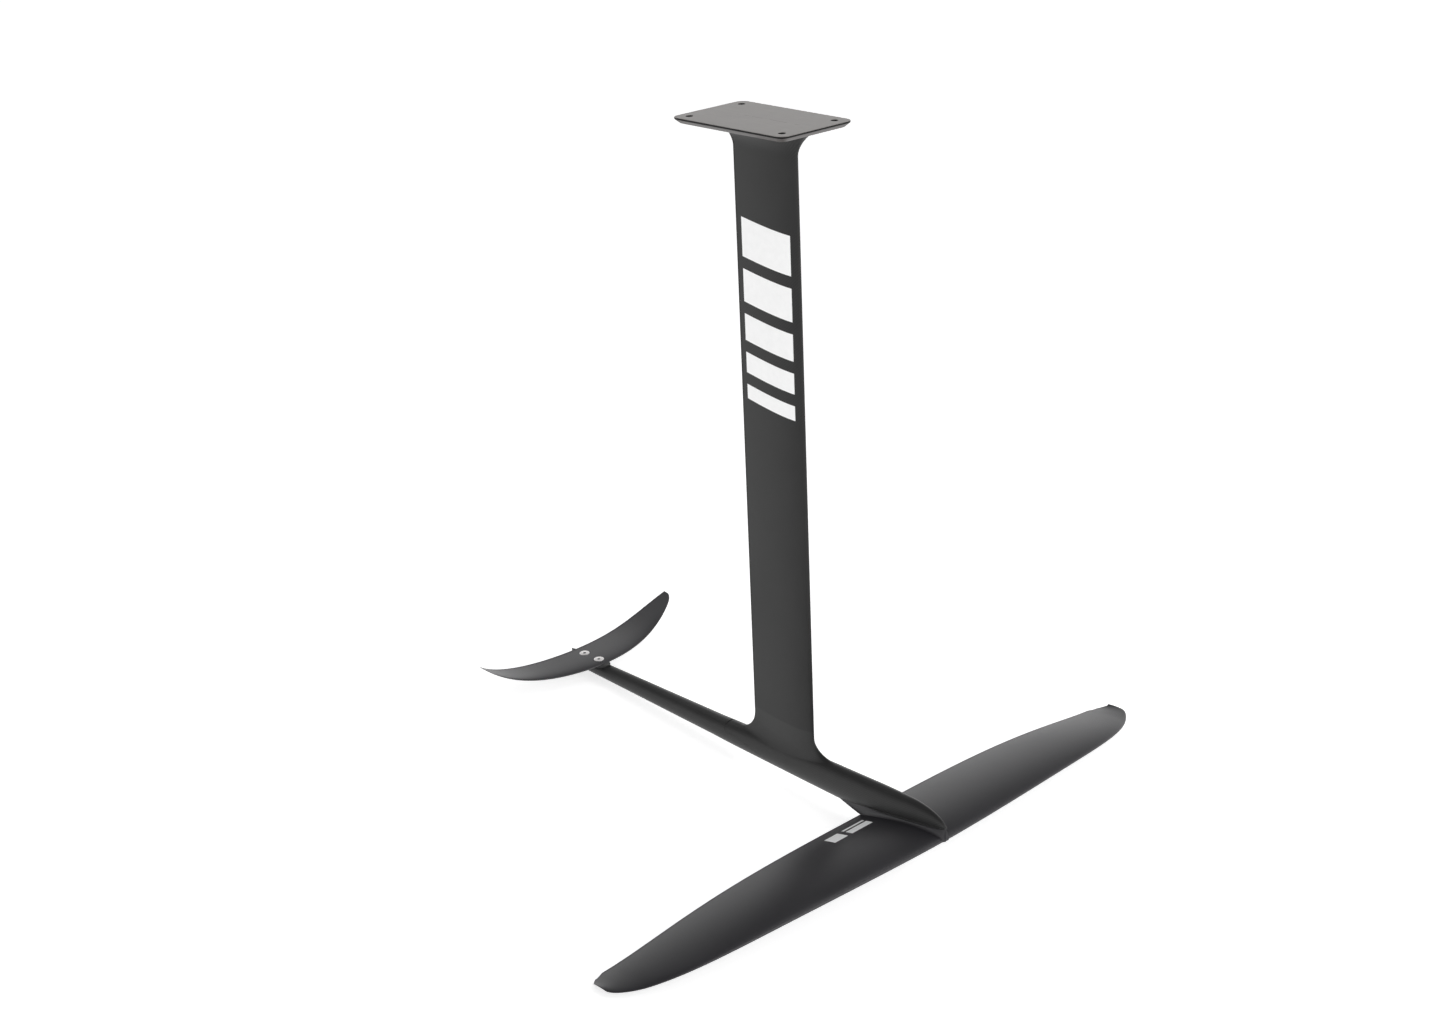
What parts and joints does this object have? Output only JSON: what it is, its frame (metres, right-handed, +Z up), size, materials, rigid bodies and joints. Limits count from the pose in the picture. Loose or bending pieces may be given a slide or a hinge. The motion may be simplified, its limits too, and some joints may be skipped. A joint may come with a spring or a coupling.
{
  "type": "hydrofoil",
  "caption": "Carbon hydrofoil for a water sports board: mast with a bolt-on board plate, tail boom, front wing and stabiliser.",
  "frame": {"origin": "centre of the board plate's top face, which bolts against the board", "axes": "+Z up out of the board plate's top face, along the mast; +X forward, towards the nose of the fuselage; +Y to port"},
  "size_m": [0.7651, 0.994, 0.9428],
  "materials": {
    "plate": "satin moulded carbon laminate with a resin surface",
    "carbon_twill": "matte carbon twill laminate",
    "carbon_satin": "satin carbon laminate",
    "foam": "closed-cell structural foam",
    "stainless": "stainless steel, bead blasted",
    "brass": "machined",
    "shim": "moulded plastic"
  },
  "bodies": {
    "mast_assembly": {"mounting_plate": "plate", "mast_skin_port": "carbon_twill", "mast_skin_starboard": "carbon_twill", "mast_spar": "carbon_twill", "mast_core_front": "foam", "mast_core_rear": "foam", "front_fuselage": "carbon_twill", "wing_insert_rear": "brass", "wing_insert_middle": "brass", "wing_insert_front": "brass", "boom_insert_rear": "brass", "boom_insert_middle": "brass", "boom_insert_front": "brass"},
    "tail_boom": {"tail_boom_port": "carbon_twill", "tail_boom_starboard": "carbon_twill", "tail_boom_core": "foam", "stabiliser_insert_rear": "brass", "stabiliser_insert_front": "brass"},
    "front_wing": {"front_wing_upper_skin": "carbon_satin", "front_wing_lower_skin": "carbon_satin", "front_wing_root_block": "carbon_satin", "front_wing_core_port": "foam", "front_wing_core_starboard": "foam", "front_wing_pedestal": "carbon_satin"},
    "stabiliser": {"stabiliser_upper_skin": "carbon_satin", "stabiliser_lower_skin": "carbon_satin", "stabiliser_root_block": "carbon_satin", "stabiliser_core_port": "foam", "stabiliser_core_starboard": "foam", "stabiliser_pad": "carbon_satin", "stabiliser_shim": "shim"},
    "wing_screw_rear": {"wing_screw_rear": "stainless"},
    "wing_screw_middle": {"wing_screw_middle": "stainless"},
    "wing_screw_front": {"wing_screw_front": "stainless"},
    "boom_screw_rear": {"boom_screw_rear": "stainless"},
    "boom_screw_middle": {"boom_screw_middle": "stainless"},
    "boom_screw_front": {"boom_screw_front": "stainless"},
    "stabiliser_screw_rear": {"stabiliser_screw_rear": "stainless"},
    "stabiliser_screw_front": {"stabiliser_screw_front": "stainless"}
  },
  "joints": [
    {"name": "front_wing_drop", "type": "slide", "parent": "mast_assembly", "child": "front_wing", "axis": [0, 0, -1], "range_m": [0, 0.05]},
    {"name": "tail_boom_drop", "type": "slide", "parent": "mast_assembly", "child": "tail_boom", "axis": [0, 0, -1], "range_m": [0, 0.05]},
    {"name": "stabiliser_lift", "type": "slide", "parent": "tail_boom", "child": "stabiliser", "axis": [0, 0, 1], "range_m": [0, 0.04]},
    {"name": "wing_screw_rear_out", "type": "slide", "parent": "front_wing", "child": "wing_screw_rear", "axis": [0, 0, -1], "range_m": [0, 0.035]},
    {"name": "wing_screw_middle_out", "type": "slide", "parent": "front_wing", "child": "wing_screw_middle", "axis": [0, 0, -1], "range_m": [0, 0.035]},
    {"name": "wing_screw_front_out", "type": "slide", "parent": "front_wing", "child": "wing_screw_front", "axis": [0, 0, -1], "range_m": [0, 0.035]},
    {"name": "boom_screw_rear_out", "type": "slide", "parent": "tail_boom", "child": "boom_screw_rear", "axis": [0, 0, -1], "range_m": [0, 0.03]},
    {"name": "boom_screw_middle_out", "type": "slide", "parent": "tail_boom", "child": "boom_screw_middle", "axis": [0, 0, -1], "range_m": [0, 0.025]},
    {"name": "boom_screw_front_out", "type": "slide", "parent": "tail_boom", "child": "boom_screw_front", "axis": [0, 0, -1], "range_m": [0, 0.02]},
    {"name": "stabiliser_screw_rear_out", "type": "slide", "parent": "stabiliser", "child": "stabiliser_screw_rear", "axis": [0, 0, 1], "range_m": [0, 0.025]},
    {"name": "stabiliser_screw_front_out", "type": "slide", "parent": "stabiliser", "child": "stabiliser_screw_front", "axis": [0, 0, 1], "range_m": [0, 0.025]}
  ]
}
